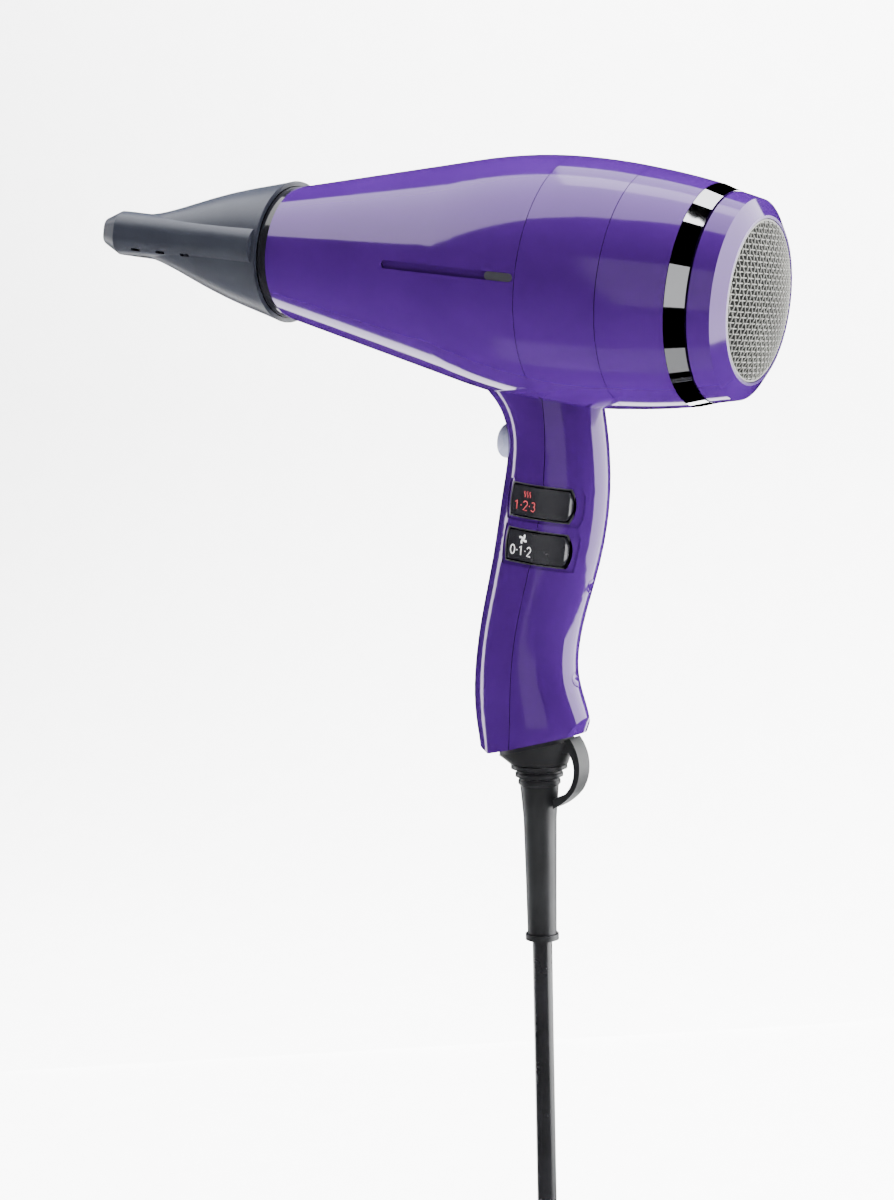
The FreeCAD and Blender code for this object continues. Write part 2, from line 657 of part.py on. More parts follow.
# ---------------------------------------------------------------- switches and button

def rocker_switch(name, level):
    """A three-position rocker in its frame, on a pin between the ears of its switch."""
    x, pivot = D.switch_x, D.rocker_pivot_y
    rim = D.rocker_gap + D.bezel_rim
    frame = switch_prism(name + "_frame", level, rim, rim, rim, y_far=-10.9)
    window = switch_prism(name + "_window", level, D.rocker_gap, D.rocker_gap, D.rocker_gap)
    skin = handle_loft(name + "_fit", D.dish_depth + 0.1)
    node(cut(name + "_bezel_cut", common(name + "_bezel_skin", frame, skin), window), f"{name}_bezel")

    ear_in = D.rocker_half_z + 0.4
    ear_out = ear_in + 1.1
    block = box(name + "_block", (x - 10, pivot + 3, level - ear_out),
                (x + 10, pivot + 12.5, level + ear_out))
    ears = [box(f"{name}_ear_{i}", (x - 3, pivot - 1.5, level + low), (x + 3, pivot + 3, level + high))
            for i, (low, high) in enumerate(((ear_in, ear_out), (-ear_out, -ear_in)))]
    pin_hole = rod(name + "_pin_hole", (x, pivot, level - ear_out), "Z", ear_out * 2, D.pin_r)
    node(cut(name + "_switch_cut", fuse(name + "_switch_form", block, *ears), pin_hole),
         f"{name}_switch_body")
    node(rod(name + "_pin", (x, pivot, level - ear_out), "Z", ear_out * 2, D.pin_r), f"{name}_rocker_pin")

    bore = rod(name + "_bore", (x, pivot, level - 10), "Z", 20, D.pin_r + D.pin_gap)
    plan = switch_prism(name + "_plan", level, 0, 0, 0, y_far=-4.0)
    node(cut(name + "_rocker_cut", common(name + "_rocker_form", paddle(name, level), plan), bore),
         f"{name}_rocker")


def paddle(name, level):
    """The rocker's side view: two hollow halves that meet at a ridge over the pivot.

    Its ends lie on the circle that they travel on, so that they clear the window as it rocks.
    """
    pivot = D.rocker_pivot_y
    end_r = D.rocker_half_x
    crest_drop, skirt_drop, ridge_drop = 3.9, 1.6, 6.3
    crest_x = math.sqrt(end_r.value ** 2 - crest_drop ** 2)
    skirt_x = math.sqrt(end_r.value ** 2 - skirt_drop ** 2)
    crest, skirt, ridge = pivot - crest_drop, pivot - skirt_drop, pivot - ridge_drop
    hollow_r, foot_r, foot_x, knee_x = as_size(36), as_size(2.5), 2.3, 3.2
    form = padded(name + "_paddle", "XY_Plane", [
        (-skirt_x, skirt), (-crest_x, crest, -end_r), (0, ridge, hollow_r), (crest_x, crest, hollow_r),
        (skirt_x, skirt, -end_r), (knee_x, skirt), (foot_x, pivot), (0, pivot + foot_x, -foot_r),
        (-foot_x, pivot, -foot_r), (-knee_x, skirt)], D.rocker_half_z * 2)
    form.Placement = FreeCAD.Placement(Vector(D.switch_x.value, 0, level.value), FreeCAD.Rotation())
    return form


def cool_shot():
    """The round button on the front of the handle and the microswitch behind it."""
    flange_r, flange = D.button_r + 1.2, D.button_back - 0.8
    cap = turned("button", [
        (D.button_tip, 0), (D.button_tip, D.button_r - 1.8), (D.button_tip + 1.6, D.button_r, 1.9),
        (flange, D.button_r), (flange, flange_r), (D.button_back, flange_r), (D.button_back, 0)])
    cap.Placement = FreeCAD.Placement(Vector(0, 0, D.button_z.value), FreeCAD.Rotation())
    node(cap, "cool_button")
    level = D.button_z
    switch_front, half_y, half_z, lever_thick = -8.4, 6, 6, 0.8
    node(box("cool_switch", (switch_front, -half_y, level - half_z), (-1, half_y, level + half_z)),
         "cool_switch_body")
    node(box("cool_lever", (switch_front - lever_thick, -2, level - 5), (switch_front, 2, level + 3)),
         "cool_switch_lever")


def handle_inside():
    """The circuit board with its parts, the mains leads and the screws that close the handle."""
    board_low, board_high, board_face = -150, -112, 7.2
    node(box("board", (-9, board_face, board_low), (9, board_face + 1.6, board_high)), "circuit_board")
    node(rod("choke_can", (0, -1.5, board_low + 12), "Z", 15, 5.5), "choke")
    diodes = []
    for index in range(4):
        left = -6 + 4 * index
        diodes.append(box(f"diode_{index}", (left, board_face - 2.8, -124), (left + 2.4, board_face, -118)))
    node(fuse("diodes", *diodes), "rectifier_diodes")
    wires = [rod(f"lead_{i}", (x, 0, -158.5), "Z", 10.5, 1.3) for i, x in enumerate((-3.5, 3.5))]
    node(fuse("leads", *wires), "mains_leads")
    screws = []
    for index, (level, _, seat) in enumerate(SCREWS):
        head = rod(f"screw_head_{index}", (seat, 0, level), "X", 1.8, D.screw_head_r)
        shank = rod(f"screw_shank_{index}", (D.screw_tip_x, 0, level), "X", seat - D.screw_tip_x,
                    D.screw_r)
        screws.append(fuse(f"screw_{index}", head, shank))
    node(fuse("screws", *screws), "handle_screws")


# ---------------------------------------------------------------- collar, sleeve and cord

def collar():
    """The slanted rubber collar under the foot, with its hanging hook and swivel bore."""
    tip = DIMENSIONS["foot_slope"] - DIMENSIONS["tilt"]
    lean = math.radians(tip)
    foot_x, foot_z, plug_height = -5.1, -66.0, 5.5
    top = ellipse("collar_top", foot_x, 0, foot_z, 15.4, 12.0, tip)
    low = ellipse("collar_low", D.sleeve_x, 0, D.sleeve_top + 0.4, 10.9, 10.8)
    skirt = loft("collar_skirt", [top, low])
    plug_low = ellipse("collar_plug_low", foot_x, 0, foot_z, 14.9, 11.8, tip)
    plug_top = ellipse("collar_plug_top", foot_x - plug_height * math.sin(lean), 0,
                       foot_z + plug_height * math.cos(lean), 14.2, 11.6, tip)
    hook = padded("hook", "XZ_Plane", [
        (5, -64.6), (10.4, -61.4), (11.5, -81.6, 17.0), (3.2, -88.0, 24.0), (3.2, -84.2),
        (8.4, -82.0, -13.0), (9.9, -66.6, -12.3), (4.6, -68.2)], D.hook_width)
    bore = rod("collar_bore", (D.sleeve_x, 0, D.sleeve_top - 8), "Z", 30, D.hub_r + D.slide_gap)
    form = fuse("collar_form", skirt, loft("collar_plug", [plug_low, plug_top]), hook)
    node(cut("collar_bored", form, bore), "bottom_collar", UPRIGHT)


def sleeve():
    """The swivel hub that turns in the collar and the ribbed, tapering cord sleeve below it."""
    top, neck, head = D.sleeve_top, -56.2, -54.2
    flange_r = D.hub_r + 2.6
    hub = turned("hub", [(0, top), (D.hub_r, top), (D.hub_r, neck), (flange_r, neck), (flange_r, head),
                         (0, head)], about="V_Axis")
    hub.Placement = FreeCAD.Placement(Vector(D.sleeve_x.value, 0, 0), FreeCAD.Rotation())
    node(hub, "swivel_hub", UPRIGHT)

    ribs = [(10.5, 0), (10.5, -1.4), (8.5, -2.3), (8.5, -2.9), (8.9, -3.1), (8.9, -4.4), (7.6, -5.1),
            (7.6, -5.7), (7.9, -5.9), (7.9, -7.1), (7.2, -7.9)]
    taper = [(6.2, -20), (5.7, -46), (5.45, -64.0)]
    end_r, end_height = 6.25, 2.2
    outline = [(radius, top + drop) for radius, drop in ribs + taper]
    outline += [(end_r, D.sleeve_end + end_height), (end_r, D.sleeve_end), (0, D.sleeve_end), (0, top)]
    relief = turned("relief", outline, about="V_Axis")
    relief.Placement = FreeCAD.Placement(Vector(D.sleeve_x.value, 0, 0), FreeCAD.Rotation())
    node(relief, "cord_sleeve", UPRIGHT)


def rounded_path(points):
    """Straight runs joined by tangent arcs, each arc as large as its two runs allow."""
    edges, start, radii = [], points[0], []
    for before, corner, after in zip(points, points[1:], points[2:]):
        arrive, leave = (corner - before), (after - corner)
        turn = arrive.getAngle(leave)
        reach = 0.45 * min(arrive.Length, leave.Length)
        radii.append(reach / math.tan(turn / 2))
        inward = corner - arrive.normalize() * reach
        outward = corner + leave.normalize() * reach
        middle = (inward + outward) * 0.5
        bow = (corner - middle)
        sagitta = radii[-1] * (1 - math.cos(turn / 2))
        edges.append(Part.LineSegment(start, inward).toShape())
        edges.append(Part.Arc(inward, middle + bow.normalize() * sagitta, outward).toShape())
        start = outward
    edges.append(Part.LineSegment(start, points[-1]).toShape())
    return Part.Wire(edges), radii


def tube(label, points):
    """A round cord along the route, checked against its section times its length."""
    path, radii = rounded_path([Vector(*point) for point in points])
    radius = DIMENSIONS["cord_r"]
    first = path.Edges[0]
    start, direction = first.valueAt(first.FirstParameter), first.tangentAt(first.FirstParameter)
    section = Part.Wire(Part.Circle(start, direction, radius).toShape())
    solid = path.makePipeShell([section], True, True)
    feature = doc.addObject("Part::Feature", label)
    feature.Shape = solid
    ideal = math.pi * radius ** 2 * path.Length
    print(f"{label}: length {path.Length:.1f}, volume ratio {solid.Volume / ideal:.4f}, arcs",
          [round(value, 1) for value in radii])
    node(feature, label, UPRIGHT)


def coil_drop_points():
    """Straight down past the coil, then half a turn that joins it from inside."""
    x, centre_x, bend = D.sleeve_x.value, D.coil_x.value, D.bend_r.value
    level, entry_y = D.coil_z.value, (D.coil_y - 2 * D.cord_r).value
    steps = 4
    step = math.pi / steps
    corner = bend / math.cos(step / 2)
    middle_x = x + bend
    points = [(x, 0, D.sleeve_end.value)]
    for index in range(steps):
        angle = math.pi + step * (index + 0.5)
        points.append((middle_x + corner * math.cos(angle), entry_y * index / steps,
                       level + corner * math.sin(angle)))
    points.append((centre_x + D.coil_r.value, entry_y, level + 12))
    return points


def cord():
    """The lead: a plumb drop, the tied coil, its hanging tail and the plug."""
    tube("cord_drop", coil_drop_points())
    layer = 2 * D.cord_r
    inner, outer = D.coil_r - layer * 1.5, D.coil_r + layer * 1.5
    depth = layer * 3
    front = D.coil_y - layer * 1.5
    ring = cut("coil_ring", rod("coil_outer", (D.coil_x, front, D.coil_z), "Y", depth, outer),
               rod("coil_inner", (D.coil_x, front - 1, D.coil_z), "Y", depth + 2, inner))
    node(ring, "cord_coil", UPRIGHT)
    cord_tie(inner, outer, front, depth)
    side = (D.coil_x - D.coil_r - layer).value
    rear = (D.coil_y + layer).value
    level = D.coil_z.value
    end = level - D.tail_length.value
    tube("cord_tail", [(side, rear, level), (side, rear, end)])
    plug(side, rear, end)


def cord_tie(inner, outer, front, depth):
    """A strap fixed round the drop that closes round the bundled turns beside it."""
    half, thick = 6.0, 1.2
    low, high = inner - 0.8, outer + 0.3
    near, rear = front - 0.1, front + depth + 0.1
    strap = cut("tie_strap",
                box("tie_band", (-half, near - thick, low - thick), (half, rear + thick, high + thick)),
                box("tie_inside", (-half - 1, near, low), (half + 1, rear, high)))
    lean = math.degrees(math.asin((D.coil_x - D.sleeve_x).value / D.coil_r.value))
    strap.Placement = FreeCAD.Placement(Vector(D.coil_x.value, 0, D.coil_z.value),
                                        FreeCAD.Rotation(Vector(0, 1, 0), -lean))
    level = D.coil_z + D.coil_r * math.cos(math.radians(lean)) - half
    cuff = cut("tie_cuff", rod("tie_cuff_outer", (D.sleeve_x, 0, level), "Z", 2 * half, 5.0),
               rod("tie_cuff_bore", (D.sleeve_x, 0, level - 1), "Z", 2 * half + 2, D.cord_r))
    node(fuse("tie", strap, cuff), "cord_tie", UPRIGHT)


def plug(x, y, top):
    """A flat two-pin plug hanging pins down from the tail."""
    face = top - D.plug_length
    levels = ((top, 5.2, 5.0), (top - 14, 6.5, 6.0), (top - 24, 15.5, 7.6), (face, 17.0, 9.0))
    rings = [ellipse(f"plug_ring_{i}", x, y, level, half_x, half_y)
             for i, (level, half_x, half_y) in enumerate(levels)]
    node(loft("plug_form", rings, ruled=True), "plug_body", UPRIGHT)
    pins = [rod(f"plug_pin_{i}", (x + side * D.contact_pitch, y, face - D.pin_length), "Z", D.pin_length,
                D.contact_r) for i, side in enumerate((-0.5, 0.5))]
    node(fuse("plug_pin_pair", *pins), "plug_pins", UPRIGHT)


def export():
    doc.recompute()
    faults = [f"{obj.Name}: {obj.State}" for obj in doc.Objects
              if "Invalid" in obj.State or "Error" in obj.State]
    for part in nodes:
        if part.Shape.isNull() or not part.Shape.isValid() or not part.Shape.Solids:
            faults.append(f"{part.Label}: bad shape")
    if faults:
        raise RuntimeError("; ".join(faults))
    os.makedirs("parts", exist_ok=True)
    for part in nodes:
        part.Shape.exportStep(f"parts/{part.Label}.step")
        print(f"{part.Label}: {len(part.Shape.Solids)} solids, {part.Shape.Volume / 1000:.2f} cm3")


shells()
tail()
nozzle()
heater()
fan()
rocker_switch("heat", D.heat_z)
rocker_switch("speed", D.speed_z)
cool_shot()
handle_inside()
collar()
sleeve()
cord()
export()
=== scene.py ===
"""Looks for the purple salon hair dryer, its concentrator nozzle and its hanging, coiled cord."""
import json
import math

import bmesh
import bpy
from mathutils import Matrix, Quaternion, Vector


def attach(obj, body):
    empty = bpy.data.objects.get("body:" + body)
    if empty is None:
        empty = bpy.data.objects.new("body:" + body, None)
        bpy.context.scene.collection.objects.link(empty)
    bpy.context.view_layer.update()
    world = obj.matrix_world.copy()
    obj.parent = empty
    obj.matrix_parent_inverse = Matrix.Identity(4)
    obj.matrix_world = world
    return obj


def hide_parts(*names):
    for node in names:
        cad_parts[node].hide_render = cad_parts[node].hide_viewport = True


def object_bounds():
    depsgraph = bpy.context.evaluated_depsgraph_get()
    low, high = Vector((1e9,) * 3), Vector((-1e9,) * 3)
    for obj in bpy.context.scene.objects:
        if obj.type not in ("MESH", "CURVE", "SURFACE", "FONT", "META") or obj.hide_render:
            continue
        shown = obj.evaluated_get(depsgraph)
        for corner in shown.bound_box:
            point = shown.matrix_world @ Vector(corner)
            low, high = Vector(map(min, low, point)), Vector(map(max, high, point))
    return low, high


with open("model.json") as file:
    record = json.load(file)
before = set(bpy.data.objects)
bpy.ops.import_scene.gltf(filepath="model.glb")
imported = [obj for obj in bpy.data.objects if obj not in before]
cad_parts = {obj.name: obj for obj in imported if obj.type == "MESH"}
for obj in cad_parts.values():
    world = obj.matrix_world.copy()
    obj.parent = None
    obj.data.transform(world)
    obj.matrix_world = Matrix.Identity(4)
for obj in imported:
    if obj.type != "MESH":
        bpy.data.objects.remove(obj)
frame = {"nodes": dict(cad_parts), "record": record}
cad_low, cad_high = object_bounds()

MM = 0.001
nodes = frame["nodes"]

# The barrel's own axes: backward along it, across it and up from it, with the nose raised.
TILT = math.radians(7.5)
ALONG = Vector((math.cos(TILT), 0, -math.sin(TILT)))
ACROSS = Vector((0, 1, 0))
ABOVE = Vector((math.sin(TILT), 0, math.cos(TILT)))
# The middle of the grip, in those axes, is the frame's origin.
GRIP_X, GRIP_Z = 1.5 * MM, -105 * MM


def at(x, y, z):
    """A point given in the barrel's own axes, in millimetres from the centre of its widest ring."""
    return ALONG * (x * MM - GRIP_X) + ACROSS * (y * MM) + ABOVE * (z * MM - GRIP_Z)


AXIS_FRAME = Matrix((
    (ALONG.x, 0, ABOVE.x, at(0, 0, 0).x), (0, 1, 0, 0),
    (ALONG.z, 0, ABOVE.z, at(0, 0, 0).z), (0, 0, 0, 1)))


# ------------------------------------------------------------------ camera

LENS, SENSOR = 69.4, 36
CAMERA_PLACE = (0.3853, -0.7529, 0.0726)
CAMERA_FORWARD = Vector((-0.49132, 0.86548, -0.09774))
CAMERA_ROLL = math.radians(1.27)


def link(name, data):
    """A new object in the scene that holds the data."""
    made = bpy.data.objects.new(name, data)
    bpy.context.scene.collection.objects.link(made)
    return made


def make_camera():
    data = bpy.data.cameras.new("camera")
    data.sensor_width = SENSOR
    data.lens = LENS
    data.clip_start = 0.05
    camera = link("camera", data)
    camera.location = CAMERA_PLACE
    forward = CAMERA_FORWARD.normalized()
    camera.rotation_mode = "QUATERNION"
    camera.rotation_quaternion = Quaternion(forward, CAMERA_ROLL) @ forward.to_track_quat("-Z", "Y")
    bpy.context.scene.camera = camera


# ------------------------------------------------------------------ cord

CORD = 7.4 * MM
EXIT = Vector((-4.4, 0, -138.4)) * MM
COIL_CENTRE = Vector((9.6, 16.6, -315)) * MM
COIL_R = 52 * MM
BEND_R = 33 * MM
TAIL_TOP, TAIL = 18 * MM, 62 * MM
LAYER = 7.45 * MM
# Each turn's place in the bundle: layers out from the middle, rows back from the front.
CELLS = [(0, 0), (1, 0), (1, 1), (0, 1), (-1, 1), (-1, 2), (0, 2), (1, 2)]
STEPS_PER_TURN = 20
TURNS = 7.5
# The first step to a new place starts at this angle. Then one starts each such share of a turn.
FIRST_STEP = 4.6
STEP_EVERY, STEP_LASTS = 0.91, 0.09
# The spline runs inside its points, so they lie outside the turn by this share of a half step's square.
SWELL_SHARE = 0.375


def coil_points():
    """Turns that lie beside and on each other; each steps to its next place a little before the last."""
    points = []
    front = COIL_CENTRE.y - LAYER
    stride = 2 * math.pi * STEP_EVERY
    window = 2 * math.pi * STEP_LASTS
    swell = 1 / (1 - SWELL_SHARE * (math.pi / STEPS_PER_TURN) ** 2)
    total = int(TURNS * STEPS_PER_TURN)
    for index in range(1, total + 1):
        angle = 2 * math.pi * index / STEPS_PER_TURN
        share = max(0.0, (angle - FIRST_STEP) / stride)
        place = min(int(share), len(CELLS) - 2)
        step = min(1.0, (share - place) * stride / window)
        if angle < FIRST_STEP:
            place, step = 0, 0.0
        blend = step * step * (3 - 2 * step)
        layer = CELLS[place][0] * (1 - blend) + CELLS[place + 1][0] * blend
        row = CELLS[place][1] * (1 - blend) + CELLS[place + 1][1] * blend
        radius = (COIL_R + layer * LAYER) * swell
        points.append(Vector((COIL_CENTRE.x + radius * math.cos(angle), front + row * LAYER,
                              COIL_CENTRE.z + radius * math.sin(angle))))
    return points


def drop_points():
    """Plumb from the sleeve, past the bundle's front, then half a turn that joins it from inside."""
    steps = 4
    step = math.pi / steps
    corner = BEND_R / math.cos(step / 2)
    middle = EXIT.x + BEND_R
    entry = COIL_CENTRE.y - LAYER
    points = [EXIT.copy()]
    for index in range(steps):
        angle = math.pi + step * (index + 0.5)
        points.append(Vector((middle + corner * math.cos(angle), entry * index / steps,
                              COIL_CENTRE.z + corner * math.sin(angle))))
    points.insert(1, points[1] + Vector((0, 0, (points[1] - points[2]).length)))
    return points


def tail_points():
    """Straight down from the bundle's left side to the plug."""
    side = COIL_CENTRE.x - COIL_R - LAYER
    row = COIL_CENTRE.y + LAYER
    top = COIL_CENTRE.z
    return [Vector((side, row, top - drop)) for drop in (TAIL_TOP, TAIL)]


def spline_curve(name, points, diameter):
    """A round cord along one open spline; each point carries half the diameter."""
    data = bpy.data.curves.new(name, "CURVE")
    data.dimensions = "3D"
    data.bevel_depth = 1.0
    data.bevel_resolution = 5
    data.use_fill_caps = True
    spline = data.splines.new("NURBS")
    spline.points.add(len(points) - 1)
    for knot, point in zip(spline.points, points):
        knot.co = (*point, 1)
        knot.radius = diameter / 2
    spline.order_u = 3
    spline.use_endpoint_u = True
    spline.resolution_u = 6
    return link(name, data)


def make_cord():
    flex = spline_curve("mains_cord", drop_points() + coil_points() + tail_points(), CORD)
    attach(flex, "cord")
    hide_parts("cord_drop", "cord_coil", "cord_tail")
    return flex


make_camera()
flex = make_cord()


# ------------------------------------------------------------------ woven intake mesh

MESH_EDGE_X, MESH_EDGE_R, MESH_TOP_X = 72.4, 27.9, 78.2
MESH_BALL_R = (MESH_EDGE_R ** 2 + (MESH_TOP_X - MESH_EDGE_X) ** 2) / (2 * (MESH_TOP_X - MESH_EDGE_X))
WIRE_PITCH, WIRE_R, WEAVE = 1.9, 0.27, 0.26
WIRE_SIDES = 5
RIM = [(72.0, 28.2), (72.7, 28.1), (72.9, 27.6), (72.6, 27.1), (71.9, 27.0)]
RIM_STEPS = 72
# A black dome just under the wires: painted shade standing in for the dark inside of the intake.
SHADE_DOME_RADII = (27.6, 22, 16, 10, 5, 0.1)
SHADE_DOME_DEPTH, SHADE_DOME_STEPS = 1.1, 48


def dome_x(across, up):
    """How far back the mesh lies at a place on it."""
    return MESH_TOP_X - MESH_BALL_R + math.sqrt(MESH_BALL_R ** 2 - across ** 2 - up ** 2)


def add_wire(mesh, number, crosswise):
    """One wire that passes over and under those that cross it."""
    offset = number * WIRE_PITCH
    reach = math.sqrt(max(0.0, MESH_EDGE_R ** 2 - offset ** 2))
    steps = int(reach / (WIRE_PITCH / 2))
    if steps < 2:
        return
    rings = []
    for step in range(-steps, steps + 1):
        run = step * WIRE_PITCH / 2
        phase = math.pi * (run / WIRE_PITCH + number) + (math.pi if crosswise else 0.0)
        y, z = (run, offset) if crosswise else (offset, run)
        lift = WEAVE * math.cos(phase)
        ring = []
        for side in range(WIRE_SIDES):
            turn = 2 * math.pi * side / WIRE_SIDES
            bulge, spread = WIRE_R * math.cos(turn), WIRE_R * math.sin(turn)
            across, up = (y, z + spread) if crosswise else (y + spread, z)
            ring.append(mesh.verts.new(at(dome_x(y, z) + lift + bulge, across, up)))
        rings.append(ring)
    for first, second in zip(rings, rings[1:]):
        for side in range(WIRE_SIDES):
            after = (side + 1) % WIRE_SIDES
            mesh.faces.new((first[side], first[after], second[after], second[side]))


def add_round(mesh, profile, steps, material_index):
    """A surface turned about the barrel's axis from (x, radius) pairs."""
    rings = []
    for x, radius in profile:
        rings.append([mesh.verts.new(at(x, radius * math.cos(2 * math.pi * k / steps),
                                        radius * math.sin(2 * math.pi * k / steps)))
                      for k in range(steps)])
    for first, second in zip(rings, rings[1:]):
        for k in range(steps):
            after = (k + 1) % steps
            face = mesh.faces.new((first[k], first[after], second[after], second[k]))
            face.material_index = material_index


def finish_mesh(name, mesh, body):
    """A smooth-shaded piece from the built faces, moving with the body."""
    bmesh.ops.recalc_face_normals(mesh, faces=mesh.faces)
    for face in mesh.faces:
        face.smooth = True
    data = bpy.data.meshes.new(name)
    mesh.to_mesh(data)
    mesh.free()
    piece = link(name, data)
    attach(piece, body)
    return piece


def make_intake_mesh():
    """Woven wire over a black dome of painted shade that stands in for the dark inside of the intake, held
    by a plain rim.
    """
    mesh = bmesh.new()
    count = int(MESH_EDGE_R / WIRE_PITCH)
    for number in range(-count, count + 1):
        add_wire(mesh, number, False)
        add_wire(mesh, number, True)
    add_round(mesh, RIM, RIM_STEPS, 0)
    # The black dome of painted shade, a little under the wires.
    shade_dome = [(dome_x(radius, 0) - SHADE_DOME_DEPTH, radius) for radius in SHADE_DOME_RADII]
    add_round(mesh, shade_dome, SHADE_DOME_STEPS, 1)
    piece = finish_mesh("woven_intake_mesh", mesh, "filter")
    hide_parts("intake_mesh")
    return piece


intake = make_intake_mesh()


# ------------------------------------------------------------------ plugs over the handle screws

SCREW_LEVELS = (-108.0, -143.2)
COUNTERBORE_R, BORE_SLACK = 2.8, 0.05
# The rear shell's outer skin lies behind this.
REAR_HALF_X = 14
# From the plug's foot to its middle: radius, and how far it lies under the skin.
PLUG_PROFILE = ((2.74, 3.0), (2.74, 0.14), (2.6, 0.02), (1.5, -0.04))
PLUG_SIDES = 16


def rim_of_bore(level, bins):
    """How far back the rear shell's skin lies round a screw's counterbore, by angle."""
    to_axis = AXIS_FRAME.inverted()
    skin = nodes["rear_shell"]
    reach = [None] * bins
    for vertex in skin.data.vertices:
        place = to_axis @ (skin.matrix_world @ vertex.co) / MM
        y, z = place.y, place.z - level
        if place.x > REAR_HALF_X and abs(math.hypot(y, z) - COUNTERBORE_R) < BORE_SLACK:
            number = int((math.atan2(z, y) / (2 * math.pi) % 1) * bins) % bins
            if reach[number] is None or place.x > reach[number]:
                reach[number] = place.x
    known = [index for index in range(bins) if reach[index] is not None]
    for index in range(bins):
        nearest = min(known, key=lambda other: min(abs(other - index), bins - abs(other - index)))
        reach[index] = reach[index] if reach[index] is not None else reach[nearest]
    return reach


def make_screw_plugs():
    """Flush plugs in the handle's colour that close the two counterbores."""
    mesh = bmesh.new()
    turns = [2 * math.pi * (k + 0.5) / PLUG_SIDES for k in range(PLUG_SIDES)]
    for level in SCREW_LEVELS:
        reach = rim_of_bore(level, PLUG_SIDES)
        rings = []
        for radius, sink in PLUG_PROFILE:
            rings.append([mesh.verts.new(at(back - sink, radius * math.cos(turn),
                                            level + radius * math.sin(turn)))
                          for back, turn in zip(reach, turns)])
        for first, second in zip(rings, rings[1:]):
            for k in range(PLUG_SIDES):
                after = (k + 1) % PLUG_SIDES
                mesh.faces.new((first[k], first[after], second[after], second[k]))
        mesh.faces.new(rings[-1])
    piece = finish_mesh("screw_plugs", mesh, "housing")
    return piece


plugs = make_screw_plugs()


# ------------------------------------------------------------------ marks on the rockers

ROCKER_X = 3.0
CREST, RIDGE = (-11.56, -12.9), (0.0, -15.3)
HOLLOW_R = 36.0
PRINT_LIFT = 0.05
HEAT_LEVEL, SPEED_LEVEL = -79.3, -95.7
WHITE, RED = 0, 1
FIGURES_Z, FIRST_FIGURE_X, LAST_FIGURE_X = -1.75, -9.4, -2.0
FIGURE_HEIGHT, FIGURE_STROKE, DOT = 3.3, 0.36, 0.4
WAVES, WAVE_X, WAVE_Z, WAVE_PITCH, WAVE_STROKE = 3, -6.3, 1.3, 1.2, 0.3
WAVE_POINTS, WAVE_SWING, WAVE_PHASE, WAVE_RISE = 9, 0.26, 0.8, 0.27
FAN_CENTRE, FAN_HUB_R, FAN_STROKE, BLADES = (-5.2, 2.5), 0.3, 0.75, 4
# Along one blade: its reach from the hub's centre and how far it leads, in radians.
BLADE_BEND = ((0.4, 0.0), (0.9, 0.12), (1.35, 0.3), (1.7, 0.55))


def hollow_centre():
    """The centre of the arc that the rocker's front half is hollowed to."""
    middle = Vector(((CREST[0] + RIDGE[0]) / 2, (CREST[1] + RIDGE[1]) / 2))
    run = Vector((RIDGE[0] - CREST[0], RIDGE[1] - CREST[1]))
    reach = math.sqrt(HOLLOW_R ** 2 - (run.length / 2) ** 2)
    return middle - Vector((-run.y, run.x)).normalized() * reach


HOLLOW = hollow_centre()


def on_rocker(across, up, level):
    """A point just off the face of the rocker's front half."""
    depth = HOLLOW.y + math.sqrt(HOLLOW_R ** 2 - (across - HOLLOW.x) ** 2)
    return at(ROCKER_X + across, depth - PRINT_LIFT, level + up)


def add_stroke(mesh, points, width, level, material_index, closed=False):
    """A flat line of ink along the points."""
    left, right = [], []
    count = len(points)
    for index, point in enumerate(points):
        before = points[index - 1] if closed or index else point
        after = points[(index + 1) % count] if closed or index < count - 1 else point
        run = (Vector(after) - Vector(before)).normalized()
        side = Vector((-run.y, run.x)) * width / 2
        left.append(mesh.verts.new(on_rocker(point[0] + side.x, point[1] + side.y, level)))
        right.append(mesh.verts.new(on_rocker(point[0] - side.x, point[1] - side.y, level)))
    for index in range(count if closed else count - 1):
        after = (index + 1) % count
        face = mesh.faces.new((left[index], right[index], right[after], left[after]))
        face.material_index = material_index


def curve_points(centre, radius_x, radius_y, start, end, steps):
    """Points along part of an ellipse, in degrees."""
    points = []
    for index in range(steps + 1):
        turn = math.radians(start + (end - start) * index / steps)
        points.append((centre[0] + radius_x * math.cos(turn), centre[1] + radius_y * math.sin(turn)))
    return points


def digit(kind, x, y, height):
    """The strokes of one figure, centred at x, y and drawn in shares of its height and width."""
    half, wide = height / 2, height * 0.27
    if kind == "0":
        return [curve_points((x, y), wide, half, 0, 345, 18)], True
    if kind == "1":
        return [[(x - wide * 0.9, y + half * 0.55), (x, y + half), (x, y - half)]], False
    if kind == "2":
        bowl = curve_points((x, y + half * 0.45), wide, half * 0.55, 165, -35, 9)
        return [bowl + [(x - wide, y - half), (x + wide, y - half)]], False
    upper = curve_points((x - wide * 0.1, y + half * 0.48), wide * 0.85, half * 0.52, 150, -80, 9)
    lower = curve_points((x - wide * 0.1, y - half * 0.46), wide, half * 0.54, 80, -150, 9)
    return [upper, lower], False


def add_figures(mesh, level, kinds, dots, ink):
    """A row of figures with a dot between each pair."""
    for index, kind in enumerate(kinds):
        x = FIRST_FIGURE_X + (LAST_FIGURE_X - FIRST_FIGURE_X) * index / (len(kinds) - 1)
        strokes, closed = digit(kind, x, FIGURES_Z, FIGURE_HEIGHT)
        for stroke in strokes:
            add_stroke(mesh, stroke, FIGURE_STROKE, level, ink, closed)
    for x in dots:
        add_stroke(mesh, [(x - DOT / 2, FIGURES_Z), (x + DOT / 2, FIGURES_Z)], DOT, level, ink)


